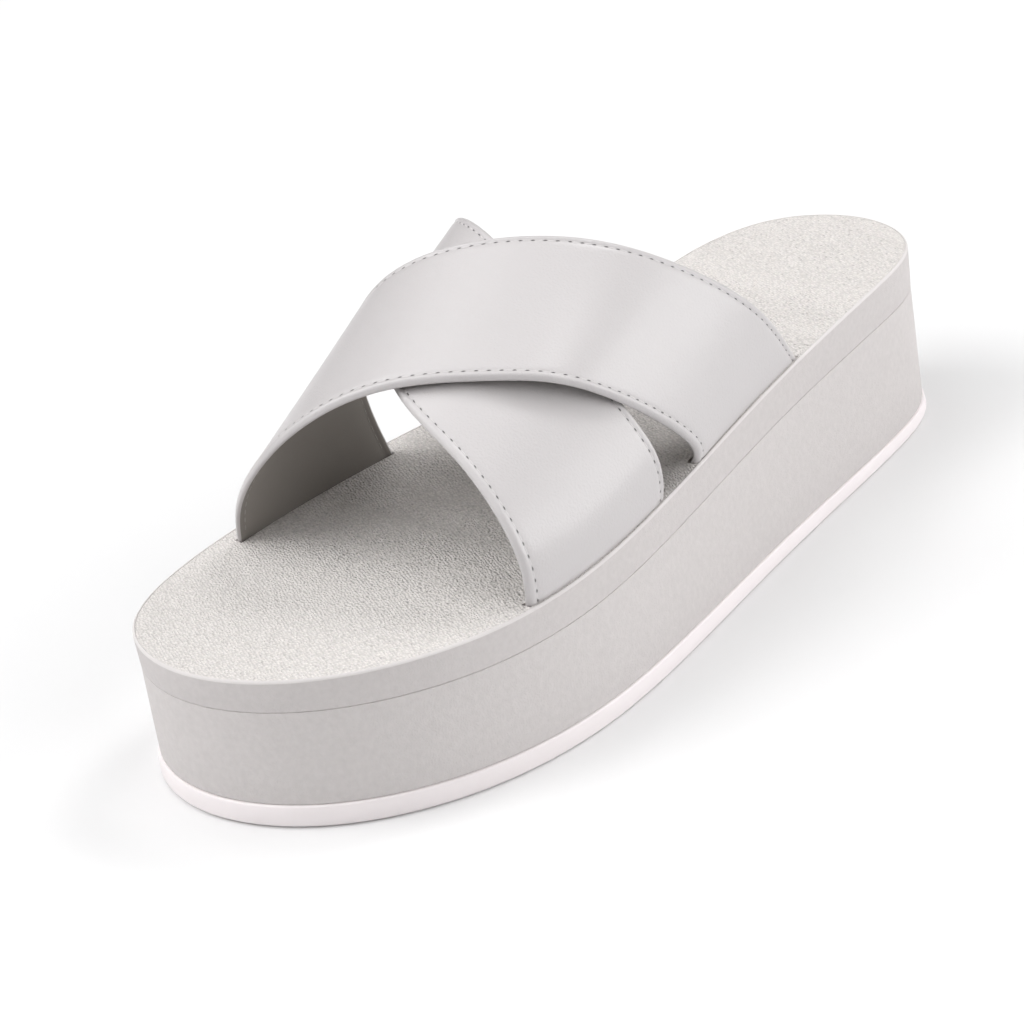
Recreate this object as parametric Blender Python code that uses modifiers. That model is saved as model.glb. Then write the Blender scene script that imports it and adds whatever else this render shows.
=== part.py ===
"""Cross strap sandal, the left shoe, standing empty on its platform sole.

Metres. The toe points along -Y, the wearer's outer side is +X, and the floor is z = 0.
The origin is under the middle of the sole, on the floor.
"""
from math import pi, sin

import bpy
import bmesh
import numpy as np
from mathutils import Matrix, Vector

# Driving dimensions of the whole shoe.
LENGTH = 0.2540
BALL_WIDTH = 0.0924
FOREFOOT_HEIGHT = 0.0374
HEEL_HEIGHT = 0.0480
STRAP_RISE = 0.0600

# The layers of the sole, toe and heel, and how its wall flares from rim to floor.
BAND_AT_TOE = 0.0079
BAND_AT_HEEL = 0.0116
OUTSOLE_AT_TOE = 0.0054
OUTSOLE_AT_HEEL = 0.0035
TOE_SPRING = 0.0004
WAIST_DEPTH = 0.0002
MIDSOLE_FLARE = 0.0004
OUTSOLE_FLARE = 0.0008
FLOOR_FLARE = 0.0013
WALL_RAKE = 0.0011
RIM_ROUND = 0.0005
LAYER_ROUND = 0.0003
FLOOR_ROUND = 0.0010

# The textile insole, let into the footbed.
RIM_WIDTH = 0.0007
INSOLE_THICKNESS = 0.0014
INSOLE_DROP = 0.0005

# The leather straps and the pockets that hold their ends.
STRAP_THICKNESS = 0.0024
STRAP_EDGE_ROUND = 0.0009
SEAT_DEPTH = 0.0055
BOND_SIDE = 0.0120

# Meeting faces stay this far apart.
CLEARANCE = 0.0003

# Where the footbed climbs from forefoot to heel, and where the toe spring ends.
CLIMB_START = 0.14
CLIMB_END = 0.89
SPRING_END = 0.30

# How finely each form is divided.
SIDE_POINTS = 44
STRAP_STATIONS = 34
STRAP_DIVISIONS = 6

# The rim seen from above, a row for each section. "at" is a share of LENGTH from the toe,
# and the two sides are shares of BALL_WIDTH from the centre line.
OUTLINE = (
    # at, lateral, medial
    (0.035, 0.188, -0.356),
    (0.127, 0.400, -0.474),
    (0.264, 0.500, -0.494),
    (0.402, 0.478, -0.434),
    (0.560, 0.410, -0.341),
    (0.718, 0.350, -0.338),
    (0.856, 0.300, -0.354),
    (0.966, 0.186, -0.254),
)
TOE_TIP = -0.100
HEEL_TIP = -0.035

# Where each strap enters the footbed. The strip is the insole left between slot and rim, as a
# share of BALL_WIDTH.
LEGS = {
    # leg: side, front at, back at, front strip, back strip
    "under_lateral": (1, 0.226, 0.424, 0.004, 0.003),
    "under_medial": (-1, 0.484, 0.676, 0.025, 0.025),
    "over_lateral": (1, 0.488, 0.688, 0.003, 0.003),
    "over_medial": (-1, 0.194, 0.386, 0.035, 0.034),
}

# The straps between their legs, a row for each section from the lateral to the medial side.
# "at" is a share of LENGTH, "out" of BALL_WIDTH from the centre line, "up" of STRAP_RISE.
UNDER_SECTIONS = (
    # front edge at, out, up; back edge at, out, up
    (0.221, 0.474, 0.180, 0.413, 0.460, 0.245),
    (0.226, 0.403, 0.366, 0.405, 0.349, 0.502),
    (0.237, 0.256, 0.532, 0.415, 0.178, 0.738),
    (0.261, 0.057, 0.661, 0.438, -0.043, 0.926),
    (0.304, -0.133, 0.722, 0.476, -0.242, 0.884),
    (0.352, -0.284, 0.632, 0.526, -0.322, 0.680),
    (0.412, -0.352, 0.380, 0.592, -0.330, 0.400),
)
OVER_SECTIONS = (
    # front edge at, out, up; back edge at, out, up
    (0.432, 0.447, 0.315, 0.621, 0.370, 0.364),
    (0.368, 0.376, 0.565, 0.551, 0.304, 0.665),
    (0.304, 0.231, 0.709, 0.484, 0.170, 0.877),
    (0.247, 0.038, 0.713, 0.423, -0.010, 0.953),
    (0.208, -0.145, 0.586, 0.379, -0.186, 0.895),
    (0.189, -0.284, 0.394, 0.359, -0.319, 0.697),
    (0.185, -0.381, 0.194, 0.362, -0.382, 0.386),
)


def clear_scene():
    for item in list(bpy.data.objects):
        bpy.data.objects.remove(item, do_unlink=True)


def new_collection(name):
    collection = bpy.data.collections.new(name)
    bpy.context.scene.collection.children.link(collection)
    return collection


def make_material(name, colour, roughness):
    material = bpy.data.materials.new(name)
    material.use_nodes = True
    shader = material.node_tree.nodes["Principled BSDF"]
    shader.inputs["Base Color"].default_value = (*colour, 1.0)
    shader.inputs["Roughness"].default_value = roughness
    shader.inputs["Metallic"].default_value = 0.0
    return material


def add_object(name, mesh, collection, material=None):
    item = bpy.data.objects.new(name, mesh)
    collection.objects.link(item)
    if material:
        mesh.materials.append(material)
    return item


def hide_tool(item):
    item.hide_render = True
    item.display_type = "WIRE"


def spline(points, closed=False, by_length=True):
    """A smooth curve through the points, as a function of the share of the way along it."""
    points = np.array(points, dtype=float)
    if closed:
        points = np.vstack([points, points[:1]])
    steps = np.diff(points, axis=0)
    spans = np.linalg.norm(steps, axis=1) if by_length else np.ones(len(steps))
    knots = np.concatenate([[0.0], np.cumsum(spans)])
    count = len(points)
    system = np.zeros((count, count))
    target = np.zeros(points.shape)
    for i in range(1, count - 1):
        before, after = 1.0 / spans[i - 1], 1.0 / spans[i]
        system[i, i - 1:i + 2] = before, 2.0 * (before + after), after
        target[i] = 3.0 * (steps[i - 1] * before ** 2 + steps[i] * after ** 2)
    first, last = 1.0 / spans[0], 1.0 / spans[-1]
    if closed:
        system[0, [0, 1, -2]] = 2.0 * (first + last), first, last
        target[0] = 3.0 * (steps[0] * first ** 2 + steps[-1] * last ** 2)
        system[-1, [0, -1]] = 1.0, -1.0
    else:
        system[0, :2] = 2.0, 1.0
        system[-1, -2:] = 1.0, 2.0
        target[0] = 3.0 * steps[0] * first
        target[-1] = 3.0 * steps[-1] * last
    slopes = np.linalg.solve(system, target)

    def curve(share):
        place = np.clip(share, 0.0, 1.0) * knots[-1]
        i = min(int(np.searchsorted(knots, place, side="right")) - 1, count - 2)
        t = (place - knots[i]) / spans[i]
        start, end = slopes[i] * spans[i], slopes[i + 1] * spans[i]
        return (
            points[i] * (2 * t ** 3 - 3 * t ** 2 + 1)
            + start * (t ** 3 - 2 * t ** 2 + t)
            + points[i + 1] * (3 * t ** 2 - 2 * t ** 3)
            + end * (t ** 3 - t ** 2)
        )

    return curve


def y_at(at):
    return (at - 0.5) * LENGTH


def share_at(y):
    return min(max(y / LENGTH + 0.5, 0.0), 1.0)


def rim_corner_points():
    """The outline's own points, from the toe tip down the lateral side and back up the medial."""
    lateral = [(out * BALL_WIDTH, y_at(at)) for at, out, _ in OUTLINE]
    medial = [(out * BALL_WIDTH, y_at(at)) for at, _, out in reversed(OUTLINE)]
    toe = [(TOE_TIP * BALL_WIDTH, y_at(0.0))]
    heel = [(HEEL_TIP * BALL_WIDTH, y_at(1.0))]
    return toe + lateral + heel + medial


def rim_ring():
    """The rim as a ring of points with their outward directions, SIDE_POINTS down each side."""
    corners = rim_corner_points()
    curve = spline(corners, closed=True)
    chords = np.linalg.norm(np.diff(np.vstack([corners, corners[:1]]), axis=0), axis=1)
    heel_share = chords[:len(OUTLINE) + 1].sum() / chords.sum()
    down = [heel_share * i / SIDE_POINTS for i in range(SIDE_POINTS)]
    back = [heel_share + (1 - heel_share) * i / SIDE_POINTS for i in range(SIDE_POINTS)]
    places = np.array([curve(share) for share in down + back])
    places -= (places.min(axis=0) + places.max(axis=0)) / 2
    ahead = np.roll(places, -1, axis=0) - np.roll(places, 1, axis=0)
    ahead /= np.linalg.norm(ahead, axis=1)[:, None]
    outward = np.column_stack([ahead[:, 1], -ahead[:, 0]])
    return places, outward


RIM_POINTS, RIM_OUTWARD = rim_ring()


def rim_x(y, side):
    """How far out the rim lies at this y, on the lateral (1) or medial (-1) side."""
    if side > 0:
        line = RIM_POINTS[:SIDE_POINTS + 1]
    else:
        line = np.vstack([RIM_POINTS[SIDE_POINTS:], RIM_POINTS[:1]])[::-1]
    return float(np.interp(y, line[:, 1], line[:, 0]))


def ease(value):
    value = min(max(value, 0.0), 1.0)
    return value * value * (3.0 - 2.0 * value)


def rim_height(y):
    climb = ease((share_at(y) - CLIMB_START) / (CLIMB_END - CLIMB_START))
    return FOREFOOT_HEIGHT + (HEEL_HEIGHT - FOREFOOT_HEIGHT) * climb


def insole_height(y):
    return rim_height(y) - INSOLE_DROP


def floor_lift(y):
    ahead = max(0.0, 1.0 - share_at(y) / SPRING_END)
    return TOE_SPRING * ahead ** 2


def band_bottom(y):
    at = share_at(y)
    return rim_height(y) - (BAND_AT_TOE + (BAND_AT_HEEL - BAND_AT_TOE) * at)


def outsole_top(y):
    at = share_at(y)
    return floor_lift(y) + OUTSOLE_AT_TOE + (OUTSOLE_AT_HEEL - OUTSOLE_AT_TOE) * at


def rake(y, z):
    """How far the wall has moved towards the heel at this level, rim to floor."""
    return WALL_RAKE * (1.0 - z / rim_height(y))


def loft_rings(name, rings):
    """A closed body through rings of the rim's shape, each (how far out, height function)."""
    shape = bmesh.new()
    loops = []
    for out, height in rings:
        loop = []
        for place, outward in zip(RIM_POINTS, RIM_OUTWARD):
            x, y = place + outward * out
            z = height(y)
            loop.append(shape.verts.new((x, y + rake(y, z), z)))
        loops.append(loop)
    count = len(RIM_POINTS)
    for lower, upper in zip(loops, loops[1:]):
        for i in range(count):
            j = (i + 1) % count
            shape.faces.new((lower[i], lower[j], upper[j], upper[i]))
    for loop, upward in ((loops[0], False), (loops[-1], True)):
        for i in range(SIDE_POINTS):
            strip = [loop[i], loop[i + 1], loop[count - i - 1], loop[(count - i) % count]]
            strip = list(dict.fromkeys(strip))
            shape.faces.new(strip if upward else strip[::-1])
    bmesh.ops.recalc_face_normals(shape, faces=shape.faces)
    mesh = bpy.data.meshes.new(name)
    shape.to_mesh(mesh)
    shape.free()
    return mesh


def offset_height(height, change):
    return lambda y: height(y) + change


def smooth_shade(mesh):
    mesh.shade_smooth()
    mesh.set_sharp_from_angle(angle=pi / 5)


def build_outsole(parts, material):
    """The rubber bottom: flat under forefoot and heel, lifted a little at the toe."""
    rings = (
        (FLOOR_FLARE - FLOOR_ROUND, floor_lift),
        (FLOOR_FLARE - 0.3 * FLOOR_ROUND, offset_height(floor_lift, 0.3 * FLOOR_ROUND)),
        (FLOOR_FLARE, offset_height(floor_lift, FLOOR_ROUND)),
        (OUTSOLE_FLARE, offset_height(outsole_top, -LAYER_ROUND)),
        (OUTSOLE_FLARE - LAYER_ROUND, outsole_top),
    )
    return add_object("outsole", loft_rings("outsole", rings), parts, material)


def build_midsole(parts, material):
    """The foam wedge between the outsole and the covered footbed."""
    bottom = offset_height(outsole_top, CLEARANCE)
    top = offset_height(band_bottom, -CLEARANCE)
    rings = (
        (MIDSOLE_FLARE - LAYER_ROUND, bottom),
        (MIDSOLE_FLARE, offset_height(bottom, LAYER_ROUND)),
        (-WAIST_DEPTH, offset_height(top, -LAYER_ROUND)),
        (-WAIST_DEPTH - LAYER_ROUND, top),
    )
    return add_object("midsole", loft_rings("midsole", rings), parts, material)


def recess_floor(y):
    return insole_height(y) - INSOLE_THICKNESS - CLEARANCE


def build_footbed(parts, material, pockets):
    """The covered top layer, with a recess for the insole and a pocket for each strap end."""
    rings = (
        (-WAIST_DEPTH - LAYER_ROUND, band_bottom),
        (-WAIST_DEPTH, offset_height(band_bottom, LAYER_ROUND)),
        (0.0, offset_height(rim_height, -RIM_ROUND)),
        (-0.3 * RIM_ROUND, offset_height(rim_height, -0.3 * RIM_ROUND)),
        (-RIM_ROUND, rim_height),
        (-RIM_WIDTH, rim_height),
        (-RIM_WIDTH, recess_floor),
    )
    footbed = add_object("footbed", loft_rings("footbed", rings), parts, material)
    cut_all(footbed, pockets)
    return footbed


def build_insole(parts, material, pockets):
    """The textile sock, lying in the footbed's recess and slotted for the straps."""
    inner = -RIM_WIDTH - CLEARANCE
    bottom = offset_height(recess_floor, CLEARANCE)
    rings = (
        (inner, bottom),
        (inner, offset_height(insole_height, -LAYER_ROUND)),
        (inner - LAYER_ROUND, insole_height),
    )
    insole = add_object("insole", loft_rings("insole", rings), parts, material)
    cut_all(insole, pockets)
    return insole


def cut_all(item, cutters):
    for cutter in cutters:
        cut = item.modifiers.new("slot for " + cutter.name, "BOOLEAN")
        cut.operation = "DIFFERENCE"
        cut.solver = "EXACT"
        cut.object = cutter


def leg_foot(leg):
    """The strap's middle where it enters the insole: its front point and its back point."""
    side, front_at, back_at, front_strip, back_strip = LEGS[leg]
    points = []
    for at, strip in ((front_at, front_strip), (back_at, back_strip)):
        y = y_at(at)
        edge = RIM_WIDTH + 2 * CLEARANCE + strip * BALL_WIDTH + STRAP_THICKNESS / 2
        points.append(np.array([rim_x(y, side) - side * edge, y, insole_height(y)]))
    return points


def leg_end_height(leg):
    """The level of the strap's end, deep in its pocket."""
    front, back = leg_foot(leg)
    return insole_height((front[1] + back[1]) / 2) - SEAT_DEPTH


def strap_edges(name, sections):
    """The strap's front and back edges as curves, from the lateral to the medial foot."""
    lateral_front, lateral_back = leg_foot(name + "_lateral")
    medial_front, medial_back = leg_foot(name + "_medial")
    front = [lateral_front]
    back = [lateral_back]
    for front_at, front_out, front_up, back_at, back_out, back_up in sections:
        for edge, at, out, up in (
            (front, front_at, front_out, front_up),
            (back, back_at, back_out, back_up),
        ):
            y = y_at(at)
            edge.append(np.array([out * BALL_WIDTH, y, insole_height(y) + up * STRAP_RISE]))
    front.append(medial_front)
    back.append(medial_back)
    return spline(front, by_length=False), spline(back, by_length=False)


def strap_rows(name, sections):
    """Rows of points across the strap's middle surface, from one pocket to the other."""
    front, back = strap_edges(name, sections)
    rows = []
    for i in range(STRAP_STATIONS + 1):
        share = i / STRAP_STATIONS
        near, far = front(share), back(share)
        rows.append([near + (far - near) * j / STRAP_DIVISIONS for j in range(STRAP_DIVISIONS + 1)])
    for leg, place in ((name + "_lateral", 0), (name + "_medial", len(rows) + 1)):
        foot = rows[0] if place == 0 else rows[-1]
        level = leg_end_height(leg)
        rows.insert(place, [np.array([point[0], point[1], level]) for point in foot])
    return rows


def build_strap(name, sections, collection, material):
    """One strap: a sheet through its rows, given leather's thickness and rolled edges."""
    rows = strap_rows(name, sections)
    shape = bmesh.new()
    bmesh.ops.create_grid(shape, x_segments=STRAP_DIVISIONS, y_segments=len(rows) - 1, size=1.0)
    shape.verts.ensure_lookup_table()
    points = [point for row in rows for point in row]
    for vertex, point in zip(shape.verts, points):
        vertex.co = point
    mesh = bpy.data.meshes.new(name)
    shape.to_mesh(mesh)
    shape.free()
    strap = add_object(name, mesh, collection, material)
    wall = strap.modifiers.new("leather", "SOLIDIFY")
    wall.thickness = STRAP_THICKNESS
    wall.offset = 0.0
    wall.use_even_offset = True
    rolled = strap.modifiers.new("rolled edge", "BEVEL")
    rolled.width = STRAP_EDGE_ROUND
    rolled.segments = 2
    rolled.limit_method = "ANGLE"
    rolled.angle_limit = pi / 3
    return strap


def build_bond(tools):
    """The hidden bonded patch between the straps, from one's middle to the other's."""
    centres = []
    slopes = []
    for name, sections in (("under", UNDER_SECTIONS), ("over", OVER_SECTIONS)):
        front, back = strap_edges(name, sections)
        centres.append(Vector((front(0.5) + back(0.5)) / 2))
        slopes.append(Vector(back(0.5) - front(0.5)).normalized())
    along = (slopes[0] + slopes[1]).normalized()
    across = Vector((1.0, 0.0, 0.0))
    upward = across.cross(along).normalized()
    across = along.cross(upward)
    middle = (centres[0] + centres[1]) / 2
    height = (centres[1] - centres[0]).dot(upward)
    shape = bmesh.new()
    bmesh.ops.create_cube(shape, size=1.0)
    bmesh.ops.scale(shape, vec=(BOND_SIDE, BOND_SIDE, height), verts=shape.verts)
    mesh = bpy.data.meshes.new("bond")
    shape.to_mesh(mesh)
    shape.free()
    bond = add_object("bond", mesh, tools)
    turn = Matrix((across, along, upward)).transposed().to_4x4()
    bond.matrix_world = Matrix.Translation(middle) @ turn
    hide_tool(bond)
    return bond


def build_straps(parts, tools, material):
    """Both straps as one upper, joined by the bond where they cross."""
    under = build_strap("under", UNDER_SECTIONS, tools, material)
    hide_tool(under)
    bond = build_bond(tools)
    straps = build_strap("over", OVER_SECTIONS, parts, material)
    straps.name = "cross_straps"
    for piece in (bond, under):
        joint = straps.modifiers.new("joined to " + piece.name, "BOOLEAN")
        joint.operation = "UNION"
        joint.solver = "EXACT"
        joint.object = piece
    return straps


def build_pocket(leg, tools):
    """A cutter around one strap end, a clearance larger all round and open above."""
    front, back = leg_foot(leg)
    run = Vector(back - front)
    run.z = 0.0
    floor = leg_end_height(leg) - CLEARANCE
    top = max(rim_height(front[1]), rim_height(back[1])) + SEAT_DEPTH
    size = (
        STRAP_THICKNESS + 2 * CLEARANCE,
        run.length + 2 * CLEARANCE,
        top - floor,
    )
    shape = bmesh.new()
    bmesh.ops.create_cube(shape, size=1.0)
    bmesh.ops.scale(shape, vec=size, verts=shape.verts)
    mesh = bpy.data.meshes.new(leg)
    shape.to_mesh(mesh)
    shape.free()
    pocket = add_object(leg + "_pocket", mesh, tools)
    pocket.location = (
        (front[0] + back[0]) / 2,
        (front[1] + back[1]) / 2,
        (floor + top) / 2,
    )
    pocket.rotation_euler.z = Vector((0.0, 1.0)).angle_signed(run.to_2d()) * -1.0
    hide_tool(pocket)
    return pocket


def main():
    clear_scene()
    parts = new_collection("cross_strap_sandal")
    tools = new_collection("cutters")
    rubber = make_material("outsole_rubber", (0.74, 0.69, 0.70), 0.60)
    foam = make_material("midsole_foam", (0.60, 0.58, 0.56), 0.75)
    cover = make_material("footbed_cover", (0.60, 0.58, 0.56), 0.70)
    textile = make_material("insole_textile", (0.62, 0.59, 0.56), 0.90)
    leather = make_material("strap_leather", (0.64, 0.61, 0.60), 0.50)
    pockets = [build_pocket(leg, tools) for leg in LEGS]
    solids = [
        build_outsole(parts, rubber),
        build_midsole(parts, foam),
        build_footbed(parts, cover, pockets),
        build_insole(parts, textile, pockets),
        build_straps(parts, tools, leather),
    ]
    for solid in solids:
        smooth_shade(solid.data)


main()
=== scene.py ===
# %% [markdown]
# This lesson dresses a cross strap sandal in Blender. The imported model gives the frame: five plain
# solids at their real size, in metres, with the toe along -Y, the wearer's outer side along +X and
# the floor at z = 0. Every piece below is laid closely over its solid, with a finer surface.
# Nothing in the frame is moved.

# %% Load the frame and keep its box
import math

import bpy
import numpy as np
from mathutils import Euler, Matrix, Vector


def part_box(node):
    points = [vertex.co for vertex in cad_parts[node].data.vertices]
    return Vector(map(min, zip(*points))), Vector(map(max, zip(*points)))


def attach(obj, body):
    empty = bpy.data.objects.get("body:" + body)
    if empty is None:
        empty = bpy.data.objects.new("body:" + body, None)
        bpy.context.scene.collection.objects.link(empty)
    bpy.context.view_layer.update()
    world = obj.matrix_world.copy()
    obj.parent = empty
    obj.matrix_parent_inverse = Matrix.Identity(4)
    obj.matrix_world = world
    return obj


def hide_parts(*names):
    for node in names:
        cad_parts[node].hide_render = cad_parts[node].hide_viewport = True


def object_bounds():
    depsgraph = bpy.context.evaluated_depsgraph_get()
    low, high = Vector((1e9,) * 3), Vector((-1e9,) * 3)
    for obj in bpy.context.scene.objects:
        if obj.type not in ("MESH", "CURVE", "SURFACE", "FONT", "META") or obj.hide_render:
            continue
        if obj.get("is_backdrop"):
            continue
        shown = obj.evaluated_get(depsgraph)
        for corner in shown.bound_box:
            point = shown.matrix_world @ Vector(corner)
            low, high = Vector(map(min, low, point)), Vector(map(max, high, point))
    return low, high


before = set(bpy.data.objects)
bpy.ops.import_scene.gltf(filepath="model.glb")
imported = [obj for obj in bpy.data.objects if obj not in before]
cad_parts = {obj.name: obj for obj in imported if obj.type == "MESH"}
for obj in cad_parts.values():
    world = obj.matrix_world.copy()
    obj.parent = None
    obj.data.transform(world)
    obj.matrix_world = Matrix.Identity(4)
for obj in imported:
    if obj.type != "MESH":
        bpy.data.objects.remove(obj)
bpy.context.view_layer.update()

footbed_low, footbed_high = (np.array(corner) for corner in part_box("footbed"))
print("solids:", sorted(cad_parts))

# %% [markdown]
# A camera and a plain studio come first, so that each new piece can be looked at as it is made. The
# photograph was taken from the front and the outer side of the shoe with its heel lifted. Here the
# shoe stands flat and the camera is rolled by the same few degrees, which keeps the angle between
# camera and shoe. A long lens from about 70 cm away gives the photograph's mild perspective.

# %% The camera
VIEW_TURN = math.radians(44.8)
VIEW_RISE = math.radians(26.6)
VIEW_ROLL = math.radians(-8.56)
VIEW_DISTANCE = 0.678
VIEW_AIM = Vector((-0.0200, -0.0066, 0.0164))
FOCAL_LENGTH = 95.3
SENSOR_WIDTH = 36.0


def put_camera():
    bpy.ops.object.camera_add()
    camera = bpy.context.object
    camera.name = "camera"
    camera.data.lens = FOCAL_LENGTH
    camera.data.sensor_width = SENSOR_WIDTH
    turned = Euler((math.pi / 2 - VIEW_RISE, 0.0, VIEW_TURN)).to_matrix()
    rolled = turned @ Matrix.Rotation(VIEW_ROLL, 3, "Z")
    away = rolled @ Vector((0.0, 0.0, VIEW_DISTANCE))
    camera.matrix_world = Matrix.Translation(VIEW_AIM + away) @ rolled.to_4x4()
    bpy.context.scene.camera = camera
    return camera


print("camera at", [round(value, 3) for value in put_camera().matrix_world.translation])

# %% [markdown]
# The photograph is a bright studio picture on a white sweep, with soft light from every side. Here
# round softboxes stand round the shoe. The strongest are over the toe's inner corner and low beyond
# the heel's outer corner. A small one, high behind the heel, lays the soft gloss on the straps. The
# sky gives almost no light of its own, and beyond the floor the camera meets a pale wall. The floor
# is one plane with a plain pale material.

# %% Floor and lights
LIGHT_DISTANCE = 3.2
LIGHTS = (
    # name, turn, rise, power, size
    ("overhead", 0.0, 90.0, 17.0, 2.2),
    ("inner side", -90.0, 70.0, 25.0, 2.2),
    ("toe key", -135.0, 45.0, 50.0, 2.2),
    ("toe front", 180.0, 45.0, 26.0, 2.2),
    ("toe low", -135.0, 15.0, 11.0, 2.2),
    ("gloss", 10.0, 54.0, 24.0, 1.0),
    ("outer side", 90.0, 30.0, 26.0, 2.2),
    ("low heel", 45.0, 15.0, 53.0, 2.2),
)
FLOOR_SIZE = 8.0
PAPER_COLOUR = (0.82, 0.82, 0.822, 1.0)
PAPER_ROUGHNESS = 0.9
PAPER_SPECULAR = 0.1
SKY_STRENGTH = 0.02
WALL_STRENGTH = 0.90


def put_light(name, turn, rise, power, size):
    """A round softbox. Its turn is 0 behind the heel and 90 on the outer side of the shoe."""
    turn, rise = math.radians(turn), math.radians(rise)
    level = math.cos(rise)
    away = Vector((math.sin(turn) * level, math.cos(turn) * level, math.sin(rise)))
    bpy.ops.object.light_add(type="AREA", location=away * LIGHT_DISTANCE)
    light = bpy.context.object
    light.name = name
    light.data.shape = "DISK"
    light.data.size = size
    light.data.energy = power
    light.rotation_euler = (-away).to_track_quat("-Z", "Y").to_euler()


def put_floor():
    bpy.ops.mesh.primitive_plane_add(size=FLOOR_SIZE)
    floor = bpy.context.object
    floor.name = "floor"
    paper = bpy.data.materials.new("studio_paper")
    paper.use_nodes = True
    shader = paper.node_tree.nodes["Principled BSDF"]
    shader.inputs["Base Color"].default_value = PAPER_COLOUR
    shader.inputs["Roughness"].default_value = PAPER_ROUGHNESS
    shader.inputs["Specular IOR Level"].default_value = PAPER_SPECULAR
    floor.data.materials.append(paper)
    floor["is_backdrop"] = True


def put_sky(strength, wall):
    """A faint light from all round. Where the camera sees past the floor, it meets a pale wall."""
    sky = bpy.data.worlds.new("studio_sky")
    sky.use_nodes = True
    tree = sky.node_tree
    background = tree.nodes["Background"]
    background.inputs["Color"].default_value = (1.0, 1.0, 1.0, 1.0)
    ray = tree.nodes.new("ShaderNodeLightPath")
    seen = tree.nodes.new("ShaderNodeMapRange")
    tree.links.new(ray.outputs["Is Camera Ray"], seen.inputs["Value"])
    seen.inputs["To Min"].default_value = strength
    seen.inputs["To Max"].default_value = wall
    tree.links.new(seen.outputs["Result"], background.inputs["Strength"])
    bpy.context.scene.world = sky


put_floor()
put_sky(SKY_STRENGTH, WALL_STRENGTH)
for light in LIGHTS:
    put_light(*light)
bpy.context.scene.view_settings.view_transform = "Standard"

# %% [markdown]
# All layers of the sole share one outline, so it is written once. A shoemaker draws it from a few
# widths along the length. The table does the same: each row is a section, with the two sides as
# shares of the ball width from the centre line. A smooth closed curve goes through the points.
# The length, the width and the height at the heel come from the frame's own footbed.

# %% The rim's outline
LENGTH = float(footbed_high[1] - footbed_low[1])
BALL_WIDTH = float(footbed_high[0] - footbed_low[0])
FOREFOOT_HEIGHT = 0.0374
HEEL_HEIGHT = float(footbed_high[2])
CLIMB_START = 0.14
CLIMB_END = 0.89
TOE_TIP = -0.100
HEEL_TIP = -0.035
OUTLINE = (
    # at, lateral, medial
    (0.035, 0.188, -0.356),
    (0.127, 0.400, -0.474),
    (0.264, 0.500, -0.494),
    (0.402, 0.478, -0.434),
    (0.560, 0.410, -0.341),
    (0.718, 0.350, -0.338),
    (0.856, 0.300, -0.354),
    (0.966, 0.186, -0.254),
)
SIDE_POINTS = 120


def spline(points, closed=False, by_length=True):
    """A smooth curve through the points, as a function of the share of the way along it."""
    points = np.array(points, dtype=float)
    if closed:
        points = np.vstack([points, points[:1]])
    steps = np.diff(points, axis=0)
    spans = np.linalg.norm(steps, axis=1) if by_length else np.ones(len(steps))
    knots = np.concatenate([[0.0], np.cumsum(spans)])
    count = len(points)
    system = np.zeros((count, count))
    target = np.zeros(points.shape)
    for i in range(1, count - 1):
        before, after = 1.0 / spans[i - 1], 1.0 / spans[i]
        system[i, i - 1:i + 2] = before, 2.0 * (before + after), after
        target[i] = 3.0 * (steps[i - 1] * before ** 2 + steps[i] * after ** 2)
    first, last = 1.0 / spans[0], 1.0 / spans[-1]
    if closed:
        system[0, [0, 1, -2]] = 2.0 * (first + last), first, last
        target[0] = 3.0 * (steps[0] * first ** 2 + steps[-1] * last ** 2)
        system[-1, [0, -1]] = 1.0, -1.0
    else:
        system[0, :2] = 2.0, 1.0
        system[-1, -2:] = 1.0, 2.0
        target[0] = 3.0 * steps[0] * first
        target[-1] = 3.0 * steps[-1] * last
    slopes = np.linalg.solve(system, target)

    def curve(share):
        place = np.clip(share, 0.0, 1.0) * knots[-1]
        i = min(int(np.searchsorted(knots, place, side="right")) - 1, count - 2)
        t = (place - knots[i]) / spans[i]
        start, end = slopes[i] * spans[i], slopes[i + 1] * spans[i]
        return (
            points[i] * (2 * t ** 3 - 3 * t ** 2 + 1)
            + start * (t ** 3 - 2 * t ** 2 + t)
            + points[i + 1] * (3 * t ** 2 - 2 * t ** 3)
            + end * (t ** 3 - t ** 2)
        )

    return curve


def rim_ring():
    """The rim as a ring of points and their outward directions, from the toe tip round."""
    lateral = [(out * BALL_WIDTH, (at - 0.5) * LENGTH) for at, out, _ in OUTLINE]
    medial = [(out * BALL_WIDTH, (at - 0.5) * LENGTH) for at, _, out in reversed(OUTLINE)]
    toe = [(TOE_TIP * BALL_WIDTH, -0.5 * LENGTH)]
    heel = [(HEEL_TIP * BALL_WIDTH, 0.5 * LENGTH)]
    corners = toe + lateral + heel + medial
    curve = spline(corners, closed=True)
    chords = np.linalg.norm(np.diff(np.vstack([corners, corners[:1]]), axis=0), axis=1)
    heel_share = chords[:len(OUTLINE) + 1].sum() / chords.sum()
    down = [heel_share * i / SIDE_POINTS for i in range(SIDE_POINTS)]
    back = [heel_share + (1 - heel_share) * i / SIDE_POINTS for i in range(SIDE_POINTS)]
    places = np.array([curve(share) for share in down + back])
    places -= (places.min(axis=0) + places.max(axis=0)) / 2
    ahead = np.roll(places, -1, axis=0) - np.roll(places, 1, axis=0)
    ahead /= np.linalg.norm(ahead, axis=1)[:, None]
    return places, np.column_stack([ahead[:, 1], -ahead[:, 0]])


RIM_POINTS, RIM_OUTWARD = rim_ring()
print("rim", [round(float(1000 * size), 1) for size in np.ptp(RIM_POINTS, axis=0)], "mm")

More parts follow.
